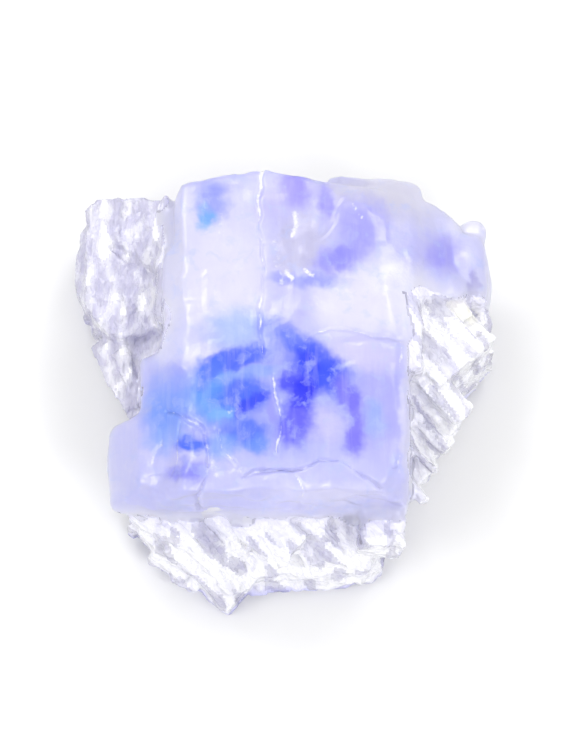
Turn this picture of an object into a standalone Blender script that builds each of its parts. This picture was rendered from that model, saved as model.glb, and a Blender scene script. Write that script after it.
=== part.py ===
"""Blue halite: a hand specimen of intergrown salt crystals, cleaved from a seam.

One large cleavage block carries the blue centre. Smaller clear crystals have grown into its sides: a rough one and a
slanted prism on the left, a turned block, a ledge and a small cube in front, a turned cube and a fan of ledges on the
right, and a rounded, partly dissolved shoulder behind. They all grew together, so the specimen is one solid.

Frame: +Z is up, +X is right and +Y is away from the viewer. The origin is on the ground under the middle of the
specimen. Lengths below are in millimetres and are turned into metres where a shape is made.
"""

import math
import random

import bmesh
import bpy
from mathutils import Matrix, Vector, noise

MM = 0.001

# The large block. Its flat cleaved underside is what the specimen rests on.
BLOCK_TOP = 27.5
BLOCK_RIGHT = 15.4
FRONT_LEFT = -19.6
FRONT_FACE = -17.0
RIDGE_Y = 3.4
RIDGE_STEP = 0.25
BACK_LEFT = -16.8
BACK_FACE = 27.6
BACK_TILT = 5.5
CRACK_X = -3.4

# The smaller crystals: how high each stands, and where it ends.
LOBE_TOP = 24.6
LOBE_LEFT = -23.9
ROUGH_TOP = 18.5
ROUGH_BACK = 25.6
PRISM_TOP = 14.0
TURNED_BLOCK_TOP = 15.0
TURNED_BLOCK_TURN = -41.0
CORNER_TOP = 12.0
LEDGE_TOP = 13.0
LEDGE_FRONT = -23.4
SMALL_CUBE_TOP = 19.0
TURNED_CUBE_TOP = 20.5
TURNED_CUBE_TURN = 43.0
FAN_TOP = 19.0
FAN_COUNT = 7
SHOULDER_TOP = 24.5
SHOULDER_RIGHT = 25.2

# How finely broken and dissolved surfaces are faceted, and how far they wander from flat.
WALL_CELL = 5.0
WALL_RELIEF = 0.28
BROKEN_CELL = 3.4
BROKEN_RELIEF = 0.3
ROUGH_CELL = 3.1
ROUGH_RELIEF = 0.75
NODULE_RELIEF = 0.4

# Nothing but the large block's underside reaches down into this band above the ground.
REST_BAND = 0.6
MERGE = 0.00001


def clear_scene():
    for obj in list(bpy.data.objects):
        bpy.data.objects.remove(obj, do_unlink=True)


def halite_material():
    material = bpy.data.materials.new("halite")
    material.use_nodes = True
    shader = material.node_tree.nodes["Principled BSDF"]
    shader.inputs["Base Color"].default_value = (0.62, 0.66, 0.98, 1.0)
    shader.inputs["Roughness"].default_value = 0.12
    shader.inputs["Metallic"].default_value = 0.0
    shader.inputs["Transmission Weight"].default_value = 0.9
    shader.inputs["IOR"].default_value = 1.544
    return material


def bake_place(obj):
    """Moves the object's place, turn and scale into its mesh."""
    bpy.context.view_layer.update()
    obj.data.transform(obj.matrix_basis)
    obj.matrix_basis = Matrix.Identity(4)


def block(name, low, high, turn=(0.0, 0.0, 0.0)):
    """A box between two corners, turned about its own middle by angles in degrees."""
    low, high = Vector(low), Vector(high)
    bpy.ops.mesh.primitive_cube_add(size=1.0, location=(low + high) / 2 * MM)
    obj = bpy.context.object
    obj.name = name
    obj.scale = (high - low) * MM
    obj.rotation_euler = [math.radians(angle) for angle in turn]
    bake_place(obj)
    return obj


def cleave(obj, point, normal):
    """Splits the solid along a plane and keeps the side that the normal points away from."""
    mesh = bmesh.new()
    mesh.from_mesh(obj.data)
    everything = mesh.verts[:] + mesh.edges[:] + mesh.faces[:]
    cut = bmesh.ops.bisect_plane(
        mesh, geom=everything, dist=MERGE, plane_co=Vector(point) * MM, plane_no=normal, clear_outer=True
    )
    rim = [item for item in cut["geom_cut"] if isinstance(item, bmesh.types.BMEdge)]
    bmesh.ops.edgeloop_fill(mesh, edges=rim)
    bmesh.ops.recalc_face_normals(mesh, faces=mesh.faces[:])
    mesh.to_mesh(obj.data)
    mesh.free()


def weather(obj, cell, relief, grain, seed):
    """Facets the surface no coarser than the cell and moves its points by smooth noise, all but the resting face."""
    mesh = bmesh.new()
    mesh.from_mesh(obj.data)
    while True:
        long_edges = [edge for edge in mesh.edges if edge.calc_length() > cell * MM]
        if not long_edges:
            break
        bmesh.ops.subdivide_edges(mesh, edges=long_edges, cuts=1, use_grid_fill=True)
        bmesh.ops.triangulate(mesh, faces=[face for face in mesh.faces if len(face.verts) > 4])
    bmesh.ops.triangulate(mesh, faces=mesh.faces[:])
    noise.seed_set(seed)
    for vert in mesh.verts:
        if vert.co.z > REST_BAND * MM:
            vert.co += noise.noise_vector(vert.co / (grain * MM)) * relief * MM
            vert.co.z = max(vert.co.z, REST_BAND * MM)
    mesh.to_mesh(obj.data)
    mesh.free()


def nodule(name, centre, radii, seed, roundness=0.5, turn=(0.0, 0.0, 0.0)):
    """A small crystal whose corners have dissolved: a box pulled part of the way to an ellipsoid, then roughened."""
    bpy.ops.mesh.primitive_cube_add(size=2.0)
    obj = bpy.context.object
    obj.name = name
    mesh = bmesh.new()
    mesh.from_mesh(obj.data)
    bmesh.ops.subdivide_edges(mesh, edges=mesh.edges[:], cuts=3, use_grid_fill=True)
    for vert in mesh.verts:
        vert.co = vert.co.lerp(vert.co.normalized() * 1.12, roundness)
    mesh.to_mesh(obj.data)
    mesh.free()
    obj.location = Vector(centre) * MM
    obj.scale = Vector(radii) * MM
    obj.rotation_euler = [math.radians(angle) for angle in turn]
    bake_place(obj)
    weather(obj, max(radii), NODULE_RELIEF, 2.8, seed)
    return obj


def combine(base, others, operation):
    """Joins the others to the base, or cuts them from it, one after another."""
    for other in others:
        modifier = base.modifiers.new(other.name, "BOOLEAN")
        modifier.operation = operation
        modifier.solver = "EXACT"
        modifier.object = other
        bpy.context.view_layer.objects.active = base
        bpy.ops.object.modifier_apply(modifier=modifier.name)
        bpy.data.objects.remove(other, do_unlink=True)
    return base


def wall_steps(name, low, high, out, count, seed, widest=8.0, thickest=1.2):
    """Thin cleavage slabs left standing on a wall. The wall spans low to high, and out is the axis that it faces."""
    chance = random.Random(seed)
    low, high, out = Vector(low), Vector(high), Vector(out)
    slabs = []
    for number in range(count):
        middle = Vector([chance.uniform(low[axis], high[axis]) for axis in range(3)])
        half = Vector([chance.uniform(0.4, 1.0) * widest / 2 for _ in range(3)])
        stand = chance.uniform(0.3, 1.0) * thickest
        for axis in range(3):
            if out[axis]:
                middle[axis] += out[axis] * (stand - half[axis])
        middle.z = max(middle.z, half.z + 2 * REST_BAND)
        turn = [chance.uniform(-1.5, 1.5) for _ in range(3)]
        slabs.append(block(f"{name}_{number}", middle - half, middle + half, turn))
    return slabs


def front_of_block():
    """The front half of the large block, from the ridge to the face above the ledge."""
    top, right = BLOCK_TOP, BLOCK_RIGHT
    front = block("front", (FRONT_LEFT, FRONT_FACE, 0), (right, RIDGE_Y, top))
    cleave(front, (FRONT_LEFT, 0, top - 7.0), (-0.80, -0.04, 0.60))
    cleave(front, (FRONT_LEFT + 3.0, 0, top - 1.6), (-0.38, 0.0, 0.92))
    cleave(front, (right - 1.6, FRONT_FACE, top - 2.6), (0.50, -0.45, 0.74))
    cleave(front, (right - 1.8, 0, top), (0.55, 0.0, 0.83))
    cleave(front, (0, FRONT_FACE, top / 2), (0.0, -0.93, -0.20))
    weather(front, WALL_CELL, WALL_RELIEF, 6.0, 1)
    return front


def back_of_block():
    """The back half, whose top falls away behind the ridge and whose back edge comes to a point at the crack."""
    top, fall = BLOCK_TOP, math.tan(math.radians(BACK_TILT))
    back = block("back", (BACK_LEFT, 0, 0), (BLOCK_RIGHT + 1.6, BACK_FACE + 1.0, top))
    cleave(back, (0, RIDGE_Y, top - RIDGE_STEP), (0.03, fall, 1.0))
    cleave(back, (CRACK_X, BACK_FACE, top - 3.0), (-0.23, 1.0, 0.05))
    cleave(back, (CRACK_X, BACK_FACE, top - 3.0), (0.15, 1.0, 0.08))
    cleave(back, (11.0, 15.0, top - 1.3), (0.36, 0.10, 0.92))
    cleave(back, (7.0, 24.5, top - 3.0), (0.26, 0.50, 0.82))
    cleave(back, (BACK_LEFT + 1.2, 18.0, top - 2.5), (-0.60, 0.06, 0.80))
    cleave(back, (BACK_LEFT + 1.8, BACK_FACE - 3.6, 0), (-0.80, 0.60, 0.0))
    weather(back, WALL_CELL, WALL_RELIEF * 1.4, 7.0, 2)
    return back


def wall_slabs():
    """Cleavage slabs on the large block's back, left and front walls."""
    behind = wall_steps("behind", (-13.0, 25.6, 2.0), (2.0, 26.6, 15.0), (0, 1, 0), 7, 3, 9.0, 1.8)
    left = wall_steps("left", (FRONT_LEFT, -3.0, 2.0), (FRONT_LEFT, 4.0, 14.0), (-1, 0, 0), 4, 5, 6.5)
    face = wall_steps("face", (-8.0, FRONT_FACE, 13.0), (12.0, FRONT_FACE, 21.0), (0, -1, 0), 3, 8, 7.0, 0.5)
    return behind + left + face


def left_lobe():
    """The rounded shoulder at the front left of the large block."""
    left, front = LOBE_LEFT, FRONT_FACE + 0.4
    lobe = block("lobe", (left, front, 3.0), (left + 15.9, -4.8, LOBE_TOP), (0, 0, 1.5))
    cleave(lobe, (left, -10.0, LOBE_TOP - 7.6), (-0.80, 0.0, 0.55))
    cleave(lobe, (left + 2.5, -10.0, LOBE_TOP - 2.6), (-0.45, 0.0, 0.88))
    cleave(lobe, (left + 2.4, -5.6, LOBE_TOP - 4.6), (-0.55, 0.75, 0.35))
    cleave(lobe, (left + 5.9, front, LOBE_TOP - 4.0), (-0.12, -0.80, 0.60))
    cleave(lobe, (left + 3.9, front, LOBE_TOP / 2), (-0.20, -0.86, -0.34))
    weather(lobe, BROKEN_CELL, BROKEN_RELIEF, 5.0, 3)
    return lobe


def terrace_cutters():
    """Where a thin layer broke off the top's front edge, behind a line shaped like a low gable."""
    top, front, above = BLOCK_TOP, FRONT_FACE - 7.0, BLOCK_TOP + 3.0
    left = block("terrace_left", (-15.0, front, top - 0.8), (4.6, front + 9.4, above), (10.0, 0, 8.0))
    right = block("terrace_right", (2.0, front, top - 1.0), (20.0, front + 8.8, above), (10.0, 3.0, -20.0))
    return [left, right]


def notch_cutters():
    """Right-angled notches along the large block's edges, where salt splits in steps."""
    above, behind, below = BLOCK_TOP + 3.0, BACK_FACE + 4.0, -1.0
    return [
        block("notch_ridge", (BACK_LEFT - 4.0, 1.2, 25.1), (BACK_LEFT + 1.0, 9.0, above), (0, 0, 3.0)),
        block("notch_front", (FRONT_LEFT - 2.0, -3.4, 25.6), (FRONT_LEFT + 2.2, 1.9, above), (0, 0, -2.0)),
        block("notch_left", (BACK_LEFT - 3.0, 16.5, 21.2), (BACK_LEFT + 1.2, behind, above), (0, 0, 2.0)),
        block("notch_low", (-9.0, 25.8, below), (-1.0, behind, 6.0), (0, 0, 4.0)),
        block("notch_corner", (8.6, 23.2, below), (18.0, behind, 9.0), (0, 0, -3.0)),
        block("notch_foot", (-21.0, -20.0, below), (-12.0, -13.2, 2.6), (0, 0, 2.0)),
    ]


def rough_crystal():
    """The clear crystal on the left: a slab along its outer side, ribs along its top and dissolved knobs."""
    top, rear, foot = ROUGH_TOP, ROUGH_BACK, 8.0
    rough = block("rough", (-27.2, 7.2, 0.9), (-15.0, rear, top), (0, 0, 1.5))
    cleave(rough, (-26.0, 9.6, 0), (-0.78, -0.62, 0.0))
    cleave(rough, (-20.0, 16.0, top - 0.2), (-0.10, -0.14, 1.0))
    cleave(rough, (-24.0, 8.0, 6.0), (-0.20, -0.80, -0.55))
    cleave(rough, (-26.4, rear - 0.6, 0), (-0.6, 0.8, 0.0))
    weather(rough, ROUGH_CELL, ROUGH_RELIEF, 2.6, 4)
    side = block("side", (-28.9, 12.4, 1.6), (-25.0, rear - 0.6, 12.5), (0, 0, -2.0))
    cleave(side, (-28.2, rear - 2.0, 0), (-0.7, 0.7, 0.0))
    cleave(side, (-28.9, 15.6, 0), (-0.93, -0.36, 0.0))
    cleave(side, (-28.4, 18.0, 11.0), (-0.75, 0.0, 0.66))
    weather(side, BROKEN_CELL, BROKEN_RELIEF, 4.0, 5)
    ribs = [
        block("rib_outer", (-25.6, 17.8, foot), (-24.3, rear, top + 0.3), (0, 12.0, 2.0)),
        block("rib_thin", (-22.7, 19.8, foot), (-21.8, rear, top + 0.6), (0, -10.0, -2.0)),
        block("rib_inner", (-19.9, 15.6, foot), (-19.1, rear - 1.0, top + 0.8), (0, 9.0, 4.0)),
        block("rib_seam", (-17.9, 8.4, foot), (-16.7, rear, top + 1.8), (0, 5.0, -1.5)),
    ]
    knobs = [
        nodule("knob_high", (-24.2, 16.0, 15.0), (2.2, 1.8, 2.4), 10, turn=(0, 20, 20)),
        nodule("knob_mid", (-20.6, 12.6, 15.6), (2.4, 2.6, 2.6), 11, turn=(20, 0, 30)),
        nodule("knob_side", (-25.0, 12.0, 9.0), (2.1, 2.6, 5.0), 12),
        nodule("knob_low", (-21.4, 9.0, 11.0), (3.0, 2.3, 5.4), 13, turn=(0, 0, 25)),
    ]
    crack = block("crack", (-25.0, 16.6, top - 1.6), (-17.0, 17.5, top + 7.0), (0, 0, -34.0))
    return combine(combine(rough, [side] + ribs + knobs, "UNION"), [crack], "DIFFERENCE")


def left_prism():
    """The thin slanted prism below the rough crystal, and the clear mass that it grows from."""
    slant = 27.0
    prism = block("prism", (-23.7, -2.6, 4.4), (-19.5, 8.2, PRISM_TOP), (-8.0, -12.0, slant))
    weather(prism, BROKEN_CELL, BROKEN_RELIEF, 4.0, 6)
    split = block("split", (-22.0, -3.0, PRISM_TOP - 1.6), (-18.4, 5.0, PRISM_TOP + 5.0), (-8.0, -6.0, slant))
    root = block("root", (-21.6, 1.6, 2.6), (-15.6, 9.4, PRISM_TOP + 1.4), (6.0, -10.0, 12.0))
    weather(root, BROKEN_CELL, BROKEN_RELIEF, 3.0, 7)
    return combine(combine(prism, [split], "DIFFERENCE"), [root], "UNION")


def turned_block():
    """The block at the front left, turned so that a corner points at the viewer, with split strips on its top."""
    middle, turn, top = Vector((-10.5, -20.1, 0)), TURNED_BLOCK_TURN, TURNED_BLOCK_TOP
    half = Vector((6.6, 4.3, 0))
    solid = block("turned", middle - half, middle + half + Vector((0, 0, top)), (0, 0, turn))
    cleave(solid, (-10.5, -18.0, top - 0.8), (0.05, -0.52, 1.0))
    cleave(solid, (-6.4, -26.8, 0.0), (0.55, -0.60, -0.75))
    cleave(solid, (-6.0, -25.0, 5.6), (0.50, -0.56, 0.66))
    weather(solid, BROKEN_CELL, BROKEN_RELIEF, 4.0, 8)
    strips = []
    for across, depth, width in ((-3.9, 6.6, 1.5), (-1.4, 4.0, 0.8), (2.9, 2.6, 1.0)):
        offset = Matrix.Rotation(math.radians(turn), 3, "Z") @ Vector((0, across, 0))
        floor = middle + offset + Vector((0, 0, top - depth))
        reach = Vector((9.0, width, 0))
        strips.append(block("strip", floor - reach, floor + reach + Vector((0, 0, 8.0)), (-12.0, 22.0, turn)))
    return combine(solid, strips, "DIFFERENCE")


def broken_corner():
    """The broken steps between the large block and the turned block, lower towards the viewer."""
    chance = random.Random(11)
    corner = block("corner", (-19.4, -19.4, 0.9), (-12.0, -12.0, CORNER_TOP), (0, 0, -35.0))
    weather(corner, ROUGH_CELL, ROUGH_RELIEF, 3.0, 9)
    count = 5
    pieces = []
    for number in range(count):
        share = number / (count - 1)
        middle = Vector((-19.0 + 5.4 * share, -16.2 - 6.6 * share, 0))
        half = Vector((chance.uniform(1.8, 2.5), chance.uniform(1.4, 2.1), 0))
        low = middle - half + Vector((0, 0, 1.2 + share))
        high = middle + half + Vector((0, 0, chance.uniform(0.6, 0.9) * CORNER_TOP - 4.0 * share))
        turn = (chance.uniform(-9, 9), chance.uniform(-9, 9), chance.uniform(-50, -25))
        pieces.append(block("piece", low, high, turn))
    return combine(corner, pieces, "UNION")


def front_ledge():
    """The ledge in front: thin plates below, tilted facets above."""
    front, top = LEDGE_FRONT, LEDGE_TOP
    ledge = block("ledge_body", (-5.0, front, 0.7), (12.2, -14.0, top), (0, 0, 1.0))
    root = block("ledge_root", (-9.0, front + 3.6, 0.9), (-2.0, -12.0, top - 3.0), (4.0, -6.0, 16.0))
    cleave(ledge, (3.0, front + 5.4, top - 1.6), (0.03, -0.72, 1.0))
    cleave(ledge, (11.4, front + 1.4, 4.0), (0.70, -0.60, 0.20))
    weather(ledge, ROUGH_CELL, ROUGH_RELIEF, 3.2, 10)
    plates = [
        block("plate_low", (-5.6, front - 1.3, 0.9), (3.6, front + 5.0, 1.7), (0, 0, 3.5)),
        block("plate_mid", (-4.6, front - 0.9, 2.1), (6.4, front + 5.0, 2.9), (0, 0, 1.5)),
        block("plate_high", (-3.4, front - 0.4, 3.2), (9.6, front + 5.0, 4.3), (0, 0, -1.0)),
    ]
    facets = [
        block("facet_left", (-6.0, front + 2.6, 3.0), (2.0, front + 9.0, top + 0.8), (20.0, 6.0, -40.0)),
        block("facet_mid", (0.4, front + 2.4, 3.0), (6.0, front + 8.4, top - 0.6), (24.0, -12.0, 24.0)),
        block("facet_right", (5.2, front + 1.8, 3.0), (10.8, front + 7.8, top - 1.8), (22.0, 12.0, -14.0)),
    ]
    return combine(ledge, [root] + plates + facets, "UNION")


def small_cube():
    """The small clear cube at the front right corner."""
    front, top = LEDGE_FRONT + 1.7, SMALL_CUBE_TOP
    cube = block("cube", (8.9, front, 6.0), (14.7, front + 6.7, top), (3.0, 2.0, -3.0))
    cleave(cube, (9.5, front, top - 0.8), (-0.80, -0.10, 0.60))
    cleave(cube, (14.1, front, top - 0.5), (0.75, -0.15, 0.65))
    cleave(cube, (12.0, front, 9.0), (0.10, -0.80, -0.60))
    return cube


def turned_cube():
    """The cube on the right, turned by half a right angle, its top stepping down to its outer corner."""
    top, turn = TURNED_CUBE_TOP, TURNED_CUBE_TURN
    upper = block("cube_upper", (14.6, 0.2, 2.4), (23.2, 8.8, top), (2.0, 6.0, turn))
    weather(upper, BROKEN_CELL, BROKEN_RELIEF / 2, 4.0, 11)
    lower = [
        block("cube_middle", (16.4, 2.2, 2.2), (25.2, 10.9, top - 3.2), (0, 4.0, turn)),
        block("cube_lower", (17.3, 1.9, 1.4), (25.5, 10.5, top - 8.5), (0, 0, turn + 3.0)),
    ]
    grooves = [
        block("groove_inner", (17.0, 7.6, top - 3.1), (25.0, 8.3, top + 4.0), (0, 0, turn - 89.0)),
        block("groove_outer", (19.4, 9.5, top - 4.7), (27.0, 10.1, top + 4.0), (0, 0, turn - 87.0)),
    ]
    knobs = [
        block("knob_square", (20.2, 8.6, 10.0), (23.4, 11.9, top - 1.3), (8.0, -6.0, turn - 3.0)),
        nodule("knob_round", (25.0, 9.8, 11.6), (1.9, 1.7, 3.0), 12, 0.8),
        block("knob_corner", (22.0, 5.0, 9.0), (24.8, 8.0, top - 2.6), (-10.0, 10.0, turn + 9.0)),
    ]
    solid = combine(combine(upper, lower, "UNION"), grooves, "DIFFERENCE")
    return combine(solid, knobs, "UNION")


def right_fan():
    """A fan of slanted ledges from the large block's right side, each lower and shorter than the one behind it."""
    chance = random.Random(23)
    ledges = []
    for number in range(FAN_COUNT):
        share = number / (FAN_COUNT - 1)
        middle = Vector((17.9 - 3.5 * share, -0.4 - 10.4 * share, 0))
        half = Vector((5.1 - 2.4 * share, chance.uniform(1.3, 1.9), 0))
        low = middle - half + Vector((0, 0, chance.uniform(2.4, 5.0)))
        high = middle + half + Vector((0, 0, FAN_TOP - 7.0 * share + chance.uniform(-1.0, 1.0)))
        turn = (chance.uniform(-9, 9), chance.uniform(8, 16), -46.0 - 9.0 * share)
        ledge = block("fan_ledge", low, high, turn)
        weather(ledge, BROKEN_CELL, BROKEN_RELIEF, 2.4, 20 + number)
        ledges.append(ledge)
    return combine(ledges[0], ledges[1:], "UNION")


def back_shoulder():
    """The rounded shoulder behind the turned cube, and the partly dissolved crystals that swell out of its edge."""
    top, right = SHOULDER_TOP, SHOULDER_RIGHT
    shoulder = block("shoulder", (6.0, 10.6, 0.8), (right - 1.0, 27.0, top), (0, 0, 3.0))
    cleave(shoulder, (14.0, 16.0, top - 0.3), (0.46, 0.14, 0.90))
    cleave(shoulder, (19.0, 17.0, top - 3.6), (0.62, 0.36, 0.70))
    cleave(shoulder, (11.0, 23.4, top - 2.4), (0.16, 0.62, 0.76))
    cleave(shoulder, (right - 3.8, 22.2, 0), (0.62, 0.78, 0.0))
    cleave(shoulder, (right - 1.6, 12.6, 0), (0.80, -0.60, 0.0))
    weather(shoulder, BROKEN_CELL, ROUGH_RELIEF, 5.0, 30)
    swells = [
        nodule("swell_back", (8.2, 24.7, 14.0), (4.6, 4.2, 6.6), 31, 0.6, (0, 0, -4)),
        nodule("swell_corner", (13.6, 24.5, 13.4), (3.8, 4.2, 6.8), 32, 0.6, (0, 0, -8)),
        nodule("swell_edge", (18.6, 21.2, 12.4), (3.6, 3.7, 6.2), 33, 0.6, (0, 0, -40)),
        nodule("swell_small", (24.3, 21.6, 13.6), (1.8, 1.7, 2.8), 34, 0.8),
        nodule("swell_right", (22.0, 15.8, 11.4), (4.6, 5.4, 7.2), 35, 0.6, (0, 0, 6)),
        nodule("swell_low", (11.6, 24.4, 6.0), (6.2, 4.2, 4.6), 36, 0.6, (0, 0, -14)),
        nodule("swell_foot", (20.6, 17.4, 5.6), (4.4, 4.4, 4.4), 37, 0.6, (0, 0, 30)),
    ]
    return combine(shoulder, swells, "UNION")


def outer_skin(mesh):
    """The points of the largest connected surface. The others are walls of pockets closed in where crystals meet."""
    waiting = set(mesh.verts)
    largest = []
    while waiting:
        reached = [waiting.pop()]
        for vert in reached:
            for edge in vert.link_edges:
                other = edge.other_vert(vert)
                if other in waiting:
                    waiting.remove(other)
                    reached.append(other)
        if len(reached) > len(largest):
            largest = reached
    return set(largest)


def tidy(obj):
    """Merges points that the joins left on top of each other, fills closed pockets and leaves only triangles."""
    mesh = bmesh.new()
    mesh.from_mesh(obj.data)
    bmesh.ops.remove_doubles(mesh, verts=mesh.verts[:], dist=MERGE)
    bmesh.ops.dissolve_degenerate(mesh, edges=mesh.edges[:], dist=MERGE)
    skin = outer_skin(mesh)
    bmesh.ops.delete(mesh, geom=[vert for vert in mesh.verts if vert not in skin], context="VERTS")
    bmesh.ops.triangulate(mesh, faces=mesh.faces[:])
    mesh.to_mesh(obj.data)
    mesh.free()


def seat(obj):
    """Puts the origin on the ground under the middle of the solid."""
    points = [vert.co for vert in obj.data.vertices]
    low = Vector([min(point[axis] for point in points) for axis in range(3)])
    high = Vector([max(point[axis] for point in points) for axis in range(3)])
    obj.data.transform(Matrix.Translation((-(low.x + high.x) / 2, -(low.y + high.y) / 2, -low.z)))


def halite():
    """The large block with its steps and notches, and every neighbour grown into it."""
    crystal = combine(front_of_block(), [back_of_block()] + wall_slabs(), "UNION")
    combine(crystal, terrace_cutters() + notch_cutters(), "DIFFERENCE")
    neighbours = [
        left_lobe(),
        rough_crystal(),
        left_prism(),
        turned_block(),
        broken_corner(),
        front_ledge(),
        small_cube(),
        turned_cube(),
        right_fan(),
        back_shoulder(),
    ]
    combine(crystal, neighbours, "UNION")
    tidy(crystal)
    seat(crystal)
    crystal.name = "halite_crystal"
    crystal.data.name = "halite_crystal"
    crystal.data.materials.clear()
    crystal.data.materials.append(halite_material())
    return crystal


def main():
    clear_scene()
    crystal = halite()
    collection = bpy.data.collections.new("blue_halite")
    bpy.context.scene.collection.children.link(collection)
    for holder in list(crystal.users_collection):
        holder.objects.unlink(crystal)
    collection.objects.link(crystal)


main()
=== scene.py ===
import math

import bpy
import numpy as np
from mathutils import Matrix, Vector, noise


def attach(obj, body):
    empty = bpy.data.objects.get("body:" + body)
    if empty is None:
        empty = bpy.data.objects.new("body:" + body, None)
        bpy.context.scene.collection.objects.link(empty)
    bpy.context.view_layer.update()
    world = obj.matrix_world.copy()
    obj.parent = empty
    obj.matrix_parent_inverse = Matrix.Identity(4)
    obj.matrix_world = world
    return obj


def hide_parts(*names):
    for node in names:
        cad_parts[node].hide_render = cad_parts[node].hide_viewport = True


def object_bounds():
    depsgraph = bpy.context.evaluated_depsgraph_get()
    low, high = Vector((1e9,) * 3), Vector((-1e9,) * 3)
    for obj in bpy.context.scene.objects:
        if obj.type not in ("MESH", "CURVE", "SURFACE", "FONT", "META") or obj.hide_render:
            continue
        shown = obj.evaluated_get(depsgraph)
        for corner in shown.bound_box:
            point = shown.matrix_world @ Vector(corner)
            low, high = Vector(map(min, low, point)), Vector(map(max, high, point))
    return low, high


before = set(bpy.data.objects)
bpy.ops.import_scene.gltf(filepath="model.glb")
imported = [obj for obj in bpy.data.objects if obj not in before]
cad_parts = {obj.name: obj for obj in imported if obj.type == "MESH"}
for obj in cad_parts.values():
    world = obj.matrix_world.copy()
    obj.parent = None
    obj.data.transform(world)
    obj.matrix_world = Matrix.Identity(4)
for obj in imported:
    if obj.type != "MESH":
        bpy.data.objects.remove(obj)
cad_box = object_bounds()

# The specimen. Salt crystals that grew into each other in a seam and were cleaved out in one piece: a milky
# block with a blue cloud in it, and clear crystals around its sides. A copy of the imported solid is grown
# together here, so that every edge gets the softness that a little moisture leaves on salt.
MM = 0.001
GRID = 0.4 * MM
MERGE = 0.01 * MM

bpy.ops.object.select_all(action="DESELECT")
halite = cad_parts["halite_crystal"].copy()
halite.data = halite.data.copy()
halite.name = "halite"
halite.data.name = "halite"
bpy.context.collection.objects.link(halite)
halite.select_set(True)
bpy.context.view_layer.objects.active = halite

bpy.ops.object.mode_set(mode="EDIT")
bpy.ops.mesh.select_all(action="SELECT")
bpy.ops.mesh.remove_doubles(threshold=MERGE)
bpy.ops.object.mode_set(mode="OBJECT")

# Thin crystals that lie against the larger ones, as ridges with a slight lean. Each is given in millimetres
# by where it starts and ends, how wide and how deep it is, and how high its top is.
RIDGES = [
    ((-23.6, 6.2), (-19.2, -3.6), 2.6, 5.0, 14.0),
    ((-21.6, 5.0), (-18.4, -2.2), 2.0, 6.0, 15.5),
    ((13.0, -9.4), (18.6, -15.6), 1.2, 7.0, 17.2),
    ((14.4, -6.0), (20.2, -11.6), 0.9, 7.0, 17.9),
    ((15.0, -2.0), (21.6, -8.8), 1.5, 7.0, 17.8),
    ((16.6, 9.4), (20.8, 9.0), 3.0, 12.0, 20.2),
]
RIDGE_ROLL = math.radians(14)
RIDGE_DIP = math.radians(5)
for start, end, width, deep, top in RIDGES:
    start, end = Vector(start), Vector(end)
    run = end - start
    middle = (start + end) / 2
    bpy.ops.object.select_all(action="DESELECT")
    spot = (middle.x * MM, middle.y * MM, (top - deep / 2) * MM)
    bpy.ops.mesh.primitive_cube_add(size=1.0, location=spot)
    ridge = bpy.context.object
    ridge.scale = (run.length * MM, width * MM, deep * MM)
    ridge.rotation_euler = (RIDGE_ROLL, RIDGE_DIP, math.atan2(run.y, run.x))
    halite.select_set(True)
    bpy.context.view_layer.objects.active = halite
    bpy.ops.object.join()

grow = halite.modifiers.new("grow", "REMESH")
grow.mode = "VOXEL"
grow.voxel_size = GRID
bpy.ops.object.modifier_apply(modifier=grow.name)


# Where the clear crystals are. Each lies outside one of the large block's walls, and its border wanders a
# little. In front of its neck the block steps out to the left as a lobe, and in front the clear salt reaches
# further in below than above. Places here and below are in millimetres, as on the solid.
BLOCK_LEFT = -15.9
NECK = 2.7
LOBE_REAR = -5.2
FRONT_LEFT = -18.8
FRONT_WALL = -17.9
FRONT_FOOT = 12.0
FRONT_FOOT_WIDTH = 1.6
FRONT_EDGE = 15.0
BLOCK_RIGHT = 16.5
SHOULDER_FRONT = 10.6
WANDER = 1.5
WANDERS_TO_A_MM = 0.3
EDGE_WANDER = 2.0
EDGE_WAVE = 4.0
EDGE_SET_BACK = 1.2


def side_of(place):
    """Names the clear crystals that a place belongs to, or none of them for the milky block."""
    x, y, z = place
    wander = noise.noise(place * WANDERS_TO_A_MM) * WANDER
    if (x < BLOCK_LEFT + wander and y > NECK) or (x < FRONT_LEFT + wander and y > LOBE_REAR):
        return "left"
    upper = EDGE_WANDER * noise.noise(Vector((x / EDGE_WAVE, 0.0, 5.0))) - EDGE_SET_BACK
    if y < FRONT_WALL + (wander if z < FRONT_EDGE else upper):
        return "front"
    if z < FRONT_FOOT and y < FRONT_WALL + FRONT_FOOT_WIDTH:
        return "front"
    if x > BLOCK_RIGHT + wander and y < SHOULDER_FRONT + wander:
        return "right"
    return ""


def within(*spans):
    """A test for places that lie inside a span of x, one of y and one of z."""
    return lambda place: all(low < value < high for value, (low, high) in zip(place, spans))


def wear(name, passes, chosen):
    """Smooths the chosen part of the specimen by so many passes."""
    worn = halite.vertex_groups.new(name=name)
    worn.add([vert.index for vert in halite.data.vertices if chosen(vert.co / MM)], 1.0, "REPLACE")
    soften = halite.modifiers.new(name, "SMOOTH")
    soften.factor = 0.5
    soften.iterations = passes
    soften.vertex_group = name
    bpy.ops.object.modifier_apply(modifier=soften.name)


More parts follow.
